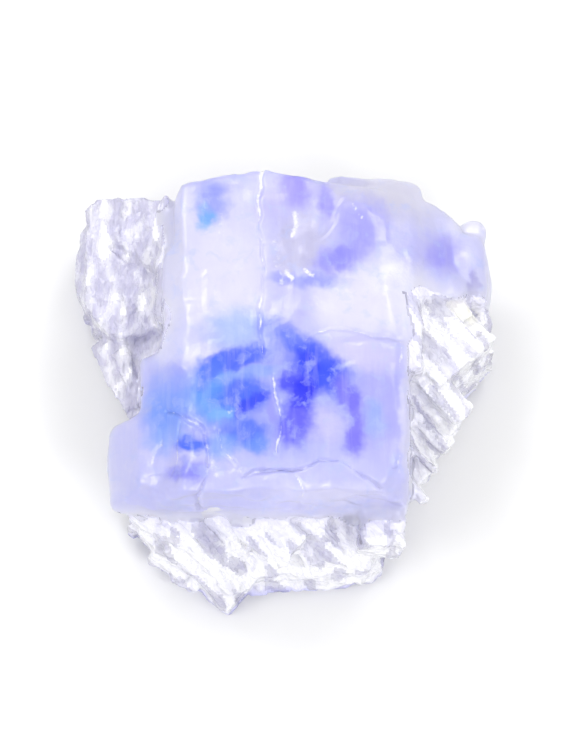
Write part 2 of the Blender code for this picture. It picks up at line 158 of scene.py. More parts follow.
# How far each part is rounded. The block's right wall melts into the low shoulder behind it, the lobe in
# front on the left has the roundest corners, and a notch in the left crystal is all but worn away.
CRYSTAL_PASSES = 1
NOTCH_PASSES = 30
BLOCK_PASSES = 14
LOBE_PASSES = 36
SEAM_PASSES = 34
SHOULDER_PASSES = 110
FAR = 99.0
NOTCH = within((-24.4, -16.4), (11.0, 19.5), (12.5, 20.0))
LOBE = within((-FAR, -15.0), (-FAR, 4.0), (3.0, FAR))
FOOT = within((-FAR, FAR), (13.0, FAR), (0.6, 10.0))
SHOULDER = within((11.0, 22.0), (SHOULDER_FRONT, FAR), (17.0, FAR))
wear("crystals", CRYSTAL_PASSES, side_of)
wear("notch", NOTCH_PASSES, NOTCH)
wear("block", BLOCK_PASSES, lambda place: not side_of(place))
wear("lobe", LOBE_PASSES, lambda place: not side_of(place) and LOBE(place))
wear("foot", SEAM_PASSES, FOOT)
wear("shoulder", SHOULDER_PASSES, SHOULDER)


# The surface. The block is gently wavy where it cleaved, and the clear crystals are broken into small steps
# along their own cleavage: the turn of each crystal, and the size of a step along it, across it and up it.
CLEAVAGE = {
    "left": (math.radians(86), (4.2, 1.9, 5.5)),
    "front": (math.radians(-49), (5.2, 1.9, 4.0)),
    "right": (math.radians(-47), (6.0, 1.3, 3.6)),
    "": (math.radians(2), (6.0, 7.5, 7.0)),
}
STEP = {"left": 0.24, "front": 0.24, "right": 0.22, "": 0.12}
TILT = {"left": 0.45, "front": 0.55, "right": 0.45, "": 0.14}


def turned(place, side):
    """The place along the crystal's own cleavage."""
    turn = CLEAVAGE[side][0]
    x, y, z = place
    return Vector((x * math.cos(turn) + y * math.sin(turn), y * math.cos(turn) - x * math.sin(turn), z))


def along_cleavage(place, side, finer=1.0):
    """The place in steps of the crystal's own cleavage."""
    return Vector(value / size for value, size in zip(turned(place, side), CLEAVAGE[side][1])) * finer


def steps(place):
    """A random height and tilt for each blocky cell around a place."""
    nearest = noise.voronoi(place, distance_metric="CHEBYCHEV")[1][0]
    lean = noise.cell_vector(nearest * 31.0) - Vector((0.5, 0.5, 0.5))
    return noise.cell(nearest * 17.0), lean.dot(place - nearest)


# Cracks and veils on the upper side, and in the clear crystals white bands, partly crushed salt and partly
# painted highlight, and hollows of painted shade. Each is a line of points in millimetres. A crack has a
# width, a depth and a whiteness, and the others have no depth.
CRACKS = [
    ([(-3.2, 27.5), (-3.3, 21.5), (-3.1, 17.0)], 0.3, 0.22, 0.75),
    ([(-3.1, 17.0), (-2.9, 11.0), (-3.1, 4.0), (-2.6, 1.0)], 0.14, 0.25, 0.75),
    ([(-1.2, -2.0), (-0.5, -5.4), (-0.5, -8.1), (-0.8, -12.4)], 0.24, 0.3, 0.7),
    (
        [(-15.2, -6.2), (-12.5, -7.6), (-10.2, -9.7), (-9.4, -12.5), (-9.9, -15.2), (-11.4, -18.6)],
        0.2,
        0.4,
        0.42,
    ),
    ([(-8.4, -9.0), (-7.1, -13.1), (-5.9, -15.8)], 0.22, 0.2, 0.45),
    ([(-16.3, -8.4), (-16.9, -14.4)], 0.3, 0.1, 0.45),
    ([(-13.2, -8.0), (-14.7, -14.6)], 0.2, 0.2, 0.45),
    (
        [(-5.7, -16.0), (-2.8, -14.8), (0.7, -15.0), (4.6, -13.2), (7.8, -14.4), (12.5, -16.8)],
        0.16,
        0.4,
        0.5,
    ),
    ([(1.2, -15.7), (2.2, -17.8)], 0.2, 0.15, 0.8),
    ([(2.7, 2.9), (6.0, 4.4), (11.7, 3.1), (15.4, 2.6)], 0.16, 0.25, 0.5),
    ([(-16.0, 25.4), (-15.8, 3.4)], 0.3, 0.1, 0.3),
    ([(7.9, 22.5), (6.6, 19.1), (4.8, 17.0)], 0.14, 0.15, 0.4),
    ([(15.7, 5.0), (15.0, -3.4), (14.9, -15.0)], 0.3, 0.12, 0.4),
]
VEILS = [
    ([(1.5, 20.4), (1.3, 17.2)], 0.5, 0.5),
    ([(0.4, 12.0), (1.0, 11.4)], 0.5, 0.7),
    ([(3.2, 12.9), (3.8, 12.0)], 0.5, 0.6),
    ([(-1.6, 16.8), (-0.6, 15.0), (-0.4, 11.0)], 0.7, 0.3),
    ([(-8.0, 20.4), (-8.2, 16.4)], 0.8, 0.3),
    ([(9.5, 21.8), (9.9, 19.4)], 0.25, 0.5),
    ([(-7.5, -7.2), (-5.4, -6.6)], 0.5, 0.3),
    ([(-12.0, -7.8), (-10.2, -9.7), (-9.6, -12.5), (-9.9, -15.2)], 0.7, 0.25),
    ([(-9.2, -13.4), (-8.6, -16.4)], 0.5, 0.35),
]
# White bands, partly crushed salt and partly painted highlight; the wide band over the fan of ridges is
# painted light on their shade.
CRUSH_AND_HIGHLIGHT_BANDS = [
    ([(-9.7, -17.6), (-3.6, -23.4)], 0.8, 1.0),
    ([(-13.0, -20.2), (-6.9, -28.2)], 0.8, 1.0),
    ([(-4.6, -22.8), (-3.8, -26.6)], 1.2, 0.9),
    ([(-5.2, -18.4), (-1.8, -21.7)], 0.4, 0.8),
    ([(-2.8, -21.2), (2.4, -25.3)], 0.6, 0.9),
    ([(6.0, -21.3), (9.0, -23.8)], 0.6, 0.9),
    ([(-15.3, -24.6), (-9.5, -28.6)], 0.4, 0.7),
    ([(17.6, -1.4), (22.6, -7.0)], 0.7, 1.0),
    ([(16.1, -4.2), (18.8, -9.8)], 1.0, 1.0),
    ([(15.3, -8.7), (18.5, -13.1)], 0.9, 1.0),
    ([(19.0, 5.8), (23.0, 2.0)], 1.6, 0.8),
    ([(-24.0, 24.4), (-24.0, 17.6)], 0.8, 1.0),
    ([(-16.6, 24.0), (-16.8, 18.0)], 0.3, 0.8),
    ([(11.8, -17.2), (12.3, -22.4)], 0.9, 1.5),
    ([(16.0, -12.0), (19.5, -16.5)], 1.6, 1.0),
]
# Hollows are painted shade: darker places in the clear crystals, in gaps between ridges and on the shaded
# left side of the small cube in front.
SHADED_HOLLOWS = [
    ([(10.0, -17.6), (10.2, -22.0)], 0.36, 1.8),
    ([(13.7, -17.6), (13.9, -22.0)], 0.5, 0.7),
    ([(15.6, -5.6), (19.6, -12.6)], 0.3, 0.8),
    ([(17.0, -2.6), (21.4, -9.6)], 0.3, 0.8),
    ([(-18.7, 3.4), (-18.3, 0.2)], 0.4, 1.3),
    ([(-11.0, -19.4), (-5.4, -25.4)], 0.4, 0.5),
    ([(18.6, 6.0), (21.2, 1.0)], 2.6, 0.35),
]
# The cracks and veils are on what lies above this height, and the lines stray and break up a little.
UPPER = 19.0
STRAY = 0.8
STRAYS_TO_A_MM = 0.35
THINNEST_CRACK = 0.25
CRACK_WHITE = 0.6
CRACK_UNEVEN = 0.8
BREAKS_TO_A_MM = 0.7


def reach(place, points):
    """How far a place is, seen from above, from a line of points, with a little unevenness."""
    first, second = place * STRAYS_TO_A_MM, place * STRAYS_TO_A_MM + Vector((7, 7, 7))
    here = Vector((place[0], place[1])) + Vector((noise.noise(first), noise.noise(second))) * STRAY
    nearest = math.inf
    for start, end in zip(points, points[1:]):
        start, run = Vector(start), Vector(end) - Vector(start)
        share = max(0.0, min(1.0, (here - start).dot(run) / run.length_squared))
        nearest = min(nearest, (here - start - run * share).length)
    return nearest


def whiteness(place):
    """The whiteness and the depth of the cracks and veils at a place, and below them the whiteness of the
    bands, which is partly painted highlight.
    """
    white = deep = 0.0
    if place[2] < UPPER:
        for points, width, share in CRUSH_AND_HIGHLIGHT_BANDS:
            white = max(white, math.exp(-((reach(place, points) / width) ** 4)) * share)
        return white, deep
    for points, width, depth, share in CRACKS:
        away = reach(place, points)
        broken = CRACK_WHITE + CRACK_UNEVEN * noise.noise(place * BREAKS_TO_A_MM)
        deep = max(deep, math.exp(-((away / max(width, THINNEST_CRACK)) ** 2)) * depth)
        white = max(white, math.exp(-((away / width) ** 2)) * share * broken)
    for points, width, share in VEILS:
        white = max(white, math.exp(-((reach(place, points) / width) ** 2)) * share)
    return white, deep


# The faces along the cracks are made finer, so that a crack can be a thin line.
FINE_BAND = 0.8
bpy.ops.object.mode_set(mode="EDIT")
bpy.ops.mesh.select_mode(type="FACE")
bpy.ops.mesh.select_all(action="DESELECT")
bpy.ops.object.mode_set(mode="OBJECT")
for face in halite.data.polygons:
    middle = face.center / MM
    face.select = middle.z > UPPER and any(reach(middle, crack[0]) < FINE_BAND for crack in CRACKS)
bpy.ops.object.mode_set(mode="EDIT")
bpy.ops.mesh.subdivide(number_cuts=1)
bpy.ops.object.mode_set(mode="OBJECT")


# The finer steps of the clear crystals, and the waves of the block with those of its broken front rim, each
# by its length and its height in millimetres.
FINER = 2.3
FINE_STEP = 0.08
FINE_TILT = 0.15
BLOCK_STEPS = 0.6
WAVES = ((7.5, 0.55), (3.1, 0.18), (1.1, 0.04))
FRONT_RIM = -14.5
RIM_WAVE = (2.4, 0.9)


def relief(place, side):
    """How far the surface stands out or back, in millimetres."""
    broad, tilt = steps(along_cleavage(place, side))
    height = STEP[side] * broad + TILT[side] * tilt
    if side:
        fine, tilt = steps(along_cleavage(place, side, FINER))
        return height + FINE_STEP * fine + FINE_TILT * tilt
    if place.z > UPPER and place.y < FRONT_RIM:
        height += RIM_WAVE[1] * noise.noise(place / RIM_WAVE[0])
    return height * BLOCK_STEPS + sum(high * noise.noise(place / long) for long, high in WAVES)


# How white each clear crystal is on the whole, how fine its streaks are, and how much the streaks, the bands
# and the hollows count. The streaks and bands are partly crushed salt and partly painted highlight, and the
# hollows are painted shade.
CRUSHED = {"left": -0.34, "front": 0.02, "right": 0.12}
CRUSH_FINER = {"left": 1.6, "front": 0.9, "right": 1.0}
STREAK = 0.8
BAND = 0.5
HOLLOW_SHADE = 0.7


def crush_and_painted_light(place, side):
    """How white a clear crystal is inside: above zero where it is crushed or a painted highlight lies, below
    it where it is clear or a hollow's painted shade lies.
    """
    streak = noise.noise(along_cleavage(place, side, CRUSH_FINER[side]) + Vector((3, 5, 8)))
    hollow_shade = 0.0
    # The painted shade of the hollows.
    for points, width, share in SHADED_HOLLOWS:
        hollow_shade = max(hollow_shade, math.exp(-((reach(place, points) / width) ** 2)) * share)
    return CRUSHED[side] + STREAK * streak + BAND * whiteness(place)[0] - HOLLOW_SHADE * hollow_shade


def spread_out(values, passes):
    """Evens a value out over the neighbouring points of the surface, so many times."""
    ends = np.zeros(len(halite.data.edges) * 2, dtype=np.int32)
    halite.data.edges.foreach_get("vertices", ends)
    first, second = ends.reshape(-1, 2).T
    count = len(values)
    neighbours = np.bincount(ends, minlength=count) + 1
    for _ in range(passes):
        total = np.bincount(first, values[second], count) + np.bincount(second, values[first], count)
        values = (values + total) / neighbours
    return values


def paint(name, kind, entry, values):
    """Stores values on the points of the surface for the materials to read."""
    halite.data.attributes.new(name, kind, "POINT").data.foreach_set(entry, values)


# The underside rests flat, and nothing goes past the solid's box. The border between the block and the clear
# crystals is evened out over many points.
REST_BAND = 0.5
EDGE_PASSES = 80
LOW, HIGH = (Vector(corner) / MM for corner in cad_box)
grown = []
veiled = []
# The whiteness of the clear crystals, from crushed salt and from painted highlight and shade.
crushed = []
grain_place = []
sides = [side_of(vert.co / MM) for vert in halite.data.vertices]
for vert, side in zip(halite.data.vertices, sides):
    place = vert.co / MM
    white, deep = whiteness(place)
    veiled.append(white)
    crushed.append(crush_and_painted_light(place, side) if side else 0.0)
    grain_place.extend(turned(place, side))
    if place.z > REST_BAND:
        place += vert.normal * (relief(place, side) - deep)
        place.z = max(place.z, REST_BAND)
    grown.extend(max(low, min(high, value)) * MM for low, value, high in zip(LOW, place, HIGH))
halite.data.vertices.foreach_set("co", grown)
halite.data.update()
paint("veil", "FLOAT", "value", veiled)
paint("crush_and_painted_light", "FLOAT", "value", crushed)
clearness = np.array([1.0 if side else 0.0 for side in sides])
paint("clearness", "FLOAT", "value", spread_out(clearness, EDGE_PASSES))
paint("cleavage", "FLOAT_VECTOR", "vector", grain_place)

# Where the crystals have grown into the block, they melt into it.
SEAMS = {
    "left seam": within((-18.6, -14.0), (1.0, FAR), (8.0, FAR)),
    "right seam": within((14.6, 17.6), (-18.0, 10.0), (12.0, FAR)),
    "knob": within((-18.6, -13.6), (20.5, FAR), (8.0, FAR)),
    "pocket": within((15.6, 21.5), (7.0, 13.0), (10.0, FAR)),
}
wear("corners", CRYSTAL_PASSES, side_of)
for name, seam in SEAMS.items():
    wear(name, SEAM_PASSES, seam)
bpy.ops.object.select_all(action="DESELECT")
halite.select_set(True)
bpy.context.view_layer.objects.active = halite
SMOOTH_ANGLE = math.radians(44)
bpy.ops.object.shade_smooth_by_angle(angle=SMOOTH_ANGLE)


# The inside of the salt. The colour is a cloud that leans away from the viewer as it goes down, so that it
# is one cloud when it is looked at through the salt. It is made of ellipses with soft, curling edges.
def node(tree, kind, *sources, **settings):
    """Adds a node, sets its options and feeds its inputs in order, from values or other nodes' outputs."""
    made = tree.nodes.new(kind)
    for name, value in settings.items():
        setattr(made, name, value)
    for socket, source in zip(made.inputs, sources):
        if isinstance(source, bpy.types.NodeSocket):
            tree.links.new(source, socket)
        elif source is not None:
            socket.default_value = source
    return made


def math_node(tree, operation, *sources):
    """The result of a sum on one or two numbers."""
    return node(tree, "ShaderNodeMath", *sources, operation=operation).outputs[0]


def vector_node(tree, operation, *sources):
    """The result of a sum on vectors."""
    return node(tree, "ShaderNodeVectorMath", *sources, operation=operation).outputs[0]


def eased(tree, value, least, most, low, high):
    """A value that goes gently from low to high while another goes from least to most."""
    made = node(tree, "ShaderNodeMapRange", value, least, most, low, high, interpolation_type="SMOOTHSTEP")
    return made.outputs[0]


def spanned(tree, value, least, most, low, high):
    """A value that goes evenly from low to high while another goes from least to most."""
    return node(tree, "ShaderNodeMapRange", value, least, most, low, high).outputs[0]


def noisy(tree, place, fineness, detail, roughness):
    """A noise value at a place, with so many waves to a unit of it."""
    return node(tree, "ShaderNodeTexNoise", place, None, fineness, detail, roughness).outputs[0]


def object_place(tree):
    """The place on the piece, in metres."""
    return node(tree, "ShaderNodeTexCoord").outputs["Object"]


def painted(tree, name):
    """A value that was painted on the points of the surface."""
    return node(tree, "ShaderNodeAttribute", attribute_name=name).outputs["Fac"]


def mix(tree, share, low, high):
    """Blends two colours, each a value or a socket, by a share."""
    made = tree.nodes.new("ShaderNodeMix")
    made.data_type = "RGBA"
    for socket, source in ((made.inputs[0], share), (made.inputs[6], low), (made.inputs[7], high)):
        if isinstance(source, bpy.types.NodeSocket):
            tree.links.new(source, socket)
        else:
            socket.default_value = source
    return made.outputs[2]


def shade(red, green, blue):
    """A colour as it looks on a screen, from 0 to 255, as the shader wants it."""
    levels = [level / 255 for level in (red, green, blue)]
    return [*(level / 12.92 if level < 0.04 else ((level + 0.055) / 1.055) ** 2.4 for level in levels), 1.0]


VECTOR, FLOAT = "NodeSocketVector", "NodeSocketFloat"


def group(name, inputs, outputs):
    """An empty node group with named inputs and outputs."""
    tree = bpy.data.node_groups.new(name, "ShaderNodeTree")
    for label, kind, value in inputs:
        socket = tree.interface.new_socket(name=label, in_out="INPUT", socket_type=kind)
        socket.default_value = value
    for label, kind in outputs:
        tree.interface.new_socket(name=label, in_out="OUTPUT", socket_type=kind)
    return tree, tree.nodes.new("NodeGroupInput").outputs, tree.nodes.new("NodeGroupOutput").inputs


def placed(tree, built, **values):
    """Places a node group in a material with its own values."""
    made = node(tree, "ShaderNodeGroup", node_tree=built)
    for label, value in values.items():
        made.inputs[label].default_value = value
    return made


# The place in the cloud: millimetres, leaning with depth and curled by three sizes of noise. Each size has
# how many curls there are to a millimetre and how far they reach.
TOP = 27.0
CURLS = ((0.16, 2.6), (0.5, 2.2), (1.2, 0.5))
LEVEL = 0.35
HALF = (0.5, 0.5, 0.5)
cloud, given, result = group(
    "salt cloud",
    [("Curl", FLOAT, 1.0), ("Lean", FLOAT, 0.17)],
    [("Place", VECTOR)],
)
place = vector_node(cloud, "MULTIPLY", object_place(cloud), (1 / MM, 1 / MM, 1 / MM))
parts = node(cloud, "ShaderNodeSeparateXYZ", place).outputs
slide = math_node(cloud, "MULTIPLY", math_node(cloud, "SUBTRACT", TOP, parts[2]), given["Lean"])
back = math_node(cloud, "SUBTRACT", parts[1], slide)
level = math_node(cloud, "MULTIPLY", parts[2], LEVEL)
leant = node(cloud, "ShaderNodeCombineXYZ", parts[0], back, level).outputs[0]
curled = leant
for fineness, far in CURLS:
    swirl = node(cloud, "ShaderNodeTexNoise", leant, None, fineness, 2.0, 0.6).outputs["Color"]
    centred = vector_node(cloud, "SUBTRACT", swirl, HALF)
    wide = vector_node(cloud, "MULTIPLY", centred, (far, far, 0.0))
    curled = vector_node(cloud, "ADD", curled, vector_node(cloud, "SCALE", wide, None, None, given["Curl"]))
cloud.links.new(vector_node(cloud, "MULTIPLY", curled, (1.0, 1.0, 0.0)), result["Place"])

# A soft ellipse of colour, given by its middle and its reach in millimetres and by how far it is turned.
patch, given, result = group(
    "colour patch",
    [
        ("Place", VECTOR, (0, 0, 0)),
        ("Middle", VECTOR, (0, 0, 0)),
        ("Reach", VECTOR, (5, 5, 1)),
        ("Turn", FLOAT, 0.0),
        ("Inner", FLOAT, 0.2),
        ("Outer", FLOAT, 1.8),
        ("Strength", FLOAT, 1.0),
    ],
    [("Share", FLOAT)],
)
away = vector_node(patch, "SUBTRACT", given["Place"], given["Middle"])
straight = node(patch, "ShaderNodeVectorRotate", away, None, None, given["Turn"], rotation_type="Z_AXIS")
share = vector_node(patch, "DIVIDE", straight.outputs[0], given["Reach"])
radius = node(patch, "ShaderNodeVectorMath", share, operation="LENGTH").outputs["Value"]
faded = eased(patch, radius, given["Inner"], given["Outer"], given["Strength"], 0.0)
patch.links.new(faded, result["Share"])


def patched(tree, place, colour, patches):
    """Lays soft patches over a colour: each has a middle, reach, turn, softness, strength and shade."""
    for middle, reach, turn, softness, strength, tint in patches:
        spot = placed(
            tree,
            patch,
            Middle=(*middle, 0.0),
            Reach=(*reach, 1.0),
            Turn=math.radians(-turn),
            Inner=1.0 - softness,
            Outer=1.0 + softness,
            Strength=strength,
        )
        tree.links.new(place, spot.inputs["Place"])
        colour = mix(tree, spot.outputs["Share"], colour, shade(*tint))
    return colour


# How near a place is to the border between the block and the clear crystals.
border, given, result = group(
    "crystal border",
    [("Least", FLOAT, 0.0), ("Most", FLOAT, 1.0), ("Strength", FLOAT, 0.85)],
    [("Share", FLOAT)],
)
clearness = painted(border, "clearness")
near = spanned(border, clearness, given["Least"], given["Most"], 0.0, given["Strength"])
border.links.new(near, result["Share"])

# The lowest edge, which is lilac because light comes out of it after its longest way through the salt.
foot, given, result = group(
    "lilac foot",
    [("Lower", FLOAT, 1.2 * MM), ("Upper", FLOAT, 3.5 * MM), ("Strength", FLOAT, 0.6)],
    [("Share", FLOAT)],
)
above = node(foot, "ShaderNodeSeparateXYZ", object_place(foot)).outputs[2]
low = eased(foot, above, given["Lower"], given["Upper"], given["Strength"], 0.0)
foot.links.new(low, result["Share"])

# The broken inside of a clear crystal: facets and streaks along its cleavage as a height, the whiteness
# that they give it, and thin darker lines between them, which are painted shade along the facets' edges.
cleaved, given, result = group(
    "cleaved salt",
    [("Unevenness", FLOAT, 0.4)],
    [("Height", FLOAT), ("Whiteness", FLOAT), ("Shade lines", FLOAT)],
)
place = node(cleaved, "ShaderNodeAttribute", attribute_name="cleavage").outputs["Vector"]
along = vector_node(cleaved, "MULTIPLY", place, (0.5, 1.0, 0.65))
facets = node(cleaved, "ShaderNodeTexVoronoi", along, None, 1.0, distance="CHEBYCHEV").outputs
streaks = noisy(cleaved, along, 1.1, 3.0, 0.6)
flake = node(cleaved, "ShaderNodeSeparateXYZ", facets["Color"]).outputs[0]
uneven = math_node(cleaved, "SUBTRACT", math_node(cleaved, "ADD", flake, streaks), 1.0)
broken = math_node(cleaved, "MULTIPLY", uneven, given["Unevenness"])
away = math_node(cleaved, "ABSOLUTE", math_node(cleaved, "SUBTRACT", streaks, 0.5))
# Painted shade: thin darker lines where the streaks pass their middle, along the facets' edges.
shade_lines = spanned(cleaved, away, 0.0, 0.03, 0.6, 0.0)
cleaved.links.new(math_node(cleaved, "ADD", facets["Distance"], streaks), result["Height"])
cleaved.links.new(math_node(cleaved, "ADD", painted(cleaved, "crush_and_painted_light"), broken), result["Whiteness"])
cleaved.links.new(shade_lines, result["Shade lines"])

# The shades of the block. Patches are laid over them from the largest to the smallest: first the body's own
# tones and then, over the haze, the cloud. Each patch has its middle and its reach in millimetres, its turn
# in degrees, its softness, its strength and its shade.
LAVENDER = (204, 204, 253)
PALE = (232, 229, 251)

BODY_PATCHES = [
    ((-8.3, 11.0), (6.5, 8.5), 0, 0.6, 0.9, PALE),
    ((10.2, 7.6), (7.0, 4.2), 0, 0.6, 0.95, PALE),
    ((13.0, 23.0), (8.0, 3.6), 0, 0.6, 0.9, (222, 219, 233)),
    ((2.2, 15.5), (3.4, 5.4), 0, 0.6, 0.95, (194, 191, 224)),
    ((-14.9, 14.0), (2.6, 12.0), 0, 0.6, 0.85, (224, 223, 243)),
]
CLOUD_PATCHES = [
    ((-2.2, -4.6), (15.0, 8.2), 0, 0.4, 0.75, (140, 152, 255)),
    ((12.4, -6.0), (3.0, 7.0), 0, 0.6, 0.85, (174, 172, 255)),
    ((-14.2, 1.8), (2.8, 1.8), 0, 0.6, 0.85, (224, 224, 253)),
    ((-10.8, 0.8), (2.2, 1.3), 20, 0.6, 0.9, (226, 224, 253)),
    ((9.8, 0.8), (4.6, 2.0), -20, 0.6, 0.85, (214, 208, 252)),
    ((-15.4, -6.6), (2.8, 4.4), 0, 0.6, 0.9, (108, 154, 255)),
    ((-15.2, -10.2), (2.8, 1.3), 0, 0.6, 0.7, (134, 170, 255)),
    ((-6.0, 4.2), (3.4, 2.6), 0, 0.7, 0.8, (156, 186, 255)),
    ((-1.2, 4.0), (2.8, 1.8), -40, 0.6, 0.85, (108, 126, 255)),
    ((2.2, 1.8), (4.2, 1.5), -38, 0.5, 0.9, (70, 100, 255)),
    ((-8.6, -4.4), (4.0, 3.8), 0, 0.5, 0.95, (78, 148, 255)),
    ((-6.2, 0.2), (4.2, 1.4), 14, 0.5, 0.95, (56, 92, 252)),
    ((-9.6, -1.8), (2.4, 1.2), 50, 0.5, 0.85, (62, 108, 255)),
    ((-4.6, -1.9), (3.8, 0.9), 16, 0.5, 0.75, (130, 164, 255)),
    ((-5.2, -4.7), (3.2, 2.2), 0, 0.5, 0.95, (40, 86, 252)),
    ((-4.4, -5.9), (3.0, 0.8), 30, 0.5, 0.9, (26, 54, 240)),
    ((-8.4, -7.0), (1.5, 0.9), 0, 0.6, 0.7, (126, 186, 255)),
    ((4.2, -1.2), (4.2, 2.6), -38, 0.45, 1.0, (36, 68, 250)),
    ((2.2, -4.6), (1.9, 3.2), 0, 0.45, 1.0, (14, 26, 236)),
    ((0.2, -2.6), (1.6, 1.3), 0, 0.5, 0.9, (46, 54, 240)),
    ((2.8, 0.0), (1.8, 0.9), -30, 0.5, 0.8, (22, 46, 240)),
    ((-1.5, -6.2), (0.7, 1.6), 0, 0.5, 0.8, (150, 150, 253)),
    ((1.5, -8.8), (2.2, 2.4), 0, 0.6, 0.9, (84, 80, 250)),
    ((-5.0, -9.6), (2.7, 1.9), 0, 0.5, 0.9, (68, 108, 252)),
    ((-7.6, -11.4), (2.0, 1.6), 0, 0.6, 0.7, (110, 160, 255)),
    ((-3.4, -11.4), (1.4, 1.3), 0, 0.6, 0.8, (90, 140, 255)),
    ((8.3, -5.0), (3.0, 1.5), -60, 0.5, 0.9, (110, 102, 250)),
    ((9.2, -10.0), (1.5, 3.0), 0, 0.5, 0.9, (114, 104, 250)),
    ((5.4, -8.9), (2.0, 2.8), 0, 0.6, 0.9, (202, 198, 252)),
    ((11.9, -7.6), (1.2, 2.2), 0, 0.6, 0.8, (150, 176, 255)),
    ((-11.6, -11.2), (2.1, 1.2), 0, 0.5, 1.0, (56, 100, 254)),
    ((-12.4, -14.9), (2.4, 1.3), 10, 0.6, 0.85, (120, 120, 248)),
    ((-9.7, 22.1), (2.1, 2.6), 0, 0.6, 0.9, (140, 152, 250)),
    ((-10.8, 19.8), (1.2, 1.4), 0, 0.6, 0.95, (104, 170, 255)),
    ((1.7, 23.9), (2.0, 2.6), 0, 0.6, 0.9, (148, 136, 246)),
    ((-1.2, 21.6), (2.4, 2.4), 0, 0.7, 0.6, (180, 172, 242)),
    ((5.5, 21.6), (1.2, 2.8), 0, 0.6, 0.85, (150, 142, 250)),
    ((10.0, 18.8), (3.2, 3.8), 0, 0.6, 0.85, (154, 150, 255)),
    ((7.3, 13.8), (3.4, 1.8), 30, 0.6, 0.9, (136, 132, 255)),
    ((2.6, 11.0), (3.6, 1.0), 0, 0.6, 0.85, (128, 138, 252)),
    ((1.5, 7.4), (2.8, 2.8), 0, 0.7, 0.7, (184, 182, 255)),
    ((15.9, -6.0), (0.9, 12.0), 0, 0.6, 0.7, (226, 224, 244)),
    ((6.0, -17.6), (7.0, 1.2), 0, 0.6, 0.7, (228, 226, 250)),
    ((15.0, 11.0), (4.0, 2.4), 0, 0.6, 0.8, (238, 237, 251)),
    ((24.6, 20.4), (2.4, 2.0), 0, 0.6, 0.8, (234, 232, 246)),
    ((25.2, 10.8), (0.7, 2.2), 0, 0.5, 0.9, (128, 120, 216)),
    ((21.2, 15.4), (2.6, 2.6), 0, 0.7, 0.9, (152, 146, 252)),
    ((17.6, 14.6), (2.4, 2.2), 0, 0.7, 0.5, (196, 192, 255)),
]

# Salt is see-through, and tints light by the way that it goes inside.
IOR = 1.544
TINT = shade(240, 240, 243)
WHITE = shade(255, 255, 255)


def salt(name, transmission, roughness, density):
    """See-through salt: a shader with its gloss, and a body that tints light the deeper it goes."""
    material = bpy.data.materials.new(name)
    material.use_nodes = True
    tree = material.node_tree
    shader = tree.nodes["Principled BSDF"]
    shader.inputs["Transmission Weight"].default_value = transmission
    shader.inputs["IOR"].default_value = IOR
    shader.inputs["Roughness"].default_value = roughness
    body = node(tree, "ShaderNodeVolumeAbsorption")
    body.inputs["Color"].default_value = TINT
    body.inputs["Density"].default_value = density
    tree.links.new(body.outputs[0], tree.nodes["Material Output"].inputs["Volume"])
    return material, tree, shader


def bumped(tree, shader, height, strength, deep):
    """Gives a shader relief from a height."""
    skin = node(tree, "ShaderNodeBump", strength, deep)
    tree.links.new(height, skin.inputs["Height"])
    tree.links.new(skin.outputs[0], shader.inputs["Normal"])


# Milky salt. Over its own tones come a haze, the cloud, a paler lower part, which is painted light on the
# walls, stripes along the cleavage, wisps, the veils, which are broken up into beads, and its border with
# the clear crystals.
milky, tree, shader = salt("milky salt", transmission=0.55, roughness=0.3, density=10.0)
spread = placed(tree, cloud).outputs["Place"]
colour = patched(tree, spread, shade(*LAVENDER), BODY_PATCHES)
haze = eased(tree, noisy(tree, spread, 0.3, 4.0, 0.6), 0.45, 0.75, 0.0, 0.35)
colour = mix(tree, haze, colour, shade(*PALE))
colour = patched(tree, spread, colour, CLOUD_PATCHES)
place = object_place(tree)
above = node(tree, "ShaderNodeSeparateXYZ", place).outputs[2]
# Painted light: the lower walls are made paler.
painted_light_low = eased(tree, above, 9 * MM, 22 * MM, 0.9, 0.0)
colour = mix(tree, painted_light_low, colour, shade(248, 248, 252))
grain = vector_node(tree, "MULTIPLY", place, (1.0, 0.12, 0.3))
stripes = spanned(tree, noisy(tree, grain, 900.0, 3.0, 0.6), 0.5, 0.75, 0.0, 0.16)
colour = mix(tree, stripes, colour, shade(240, 240, 254))
wisps = eased(tree, noisy(tree, spread, 0.45, 4.0, 0.6), 0.5, 0.72, 0.0, 0.45)
colour = mix(tree, wisps, colour, shade(190, 204, 255))
beads = math_node(tree, "MULTIPLY", noisy(tree, place, 1500.0, 2.0, 0.6), 0.7)
veils = eased(tree, math_node(tree, "SUBTRACT", painted(tree, "veil"), beads), -0.12, 0.25, 0.0, 1.0)
colour = mix(tree, veils, colour, WHITE)
edge = placed(tree, border, Least=0.02, Most=0.6).outputs["Share"]
tree.links.new(mix(tree, edge, colour, shade(240, 239, 247)), shader.inputs["Base Color"])
bumped(tree, shader, noisy(tree, place, 700.0, 3.0, 0.55), strength=0.22, deep=0.4 * MM)


def finished(tree, shader, colour, height, border_tint):
    """Finishes a clear crystal with its border with the block, its lilac foot and its relief."""
    edge = placed(tree, border, Least=1.0, Most=0.5).outputs["Share"]
    colour = mix(tree, edge, colour, border_tint)
    low = placed(tree, foot).outputs["Share"]
    tree.links.new(mix(tree, low, colour, shade(178, 176, 250)), shader.inputs["Base Color"])
    bumped(tree, shader, height, strength=0.7, deep=0.5 * MM)


# Clear salt: dark specks of painted shade in the hollows, grey where it is deep and nearly white where
# cracks fill it or a band of painted highlight lies.
clear, tree, shader = salt("clear salt", transmission=0.5, roughness=0.12, density=4.0)
inside = placed(tree, cleaved).outputs
# Dark specks of painted shade where the hollows lie.
shade_specks = eased(tree, inside["Whiteness"], -1.25, -0.85, 0.0, 1.0)
colour = mix(tree, shade_specks, shade(112, 106, 118), shade(212, 210, 229))
cracked = eased(tree, inside["Whiteness"], -0.65, 0.1, 0.0, 1.0)
colour = mix(tree, cracked, colour, shade(250, 249, 253))
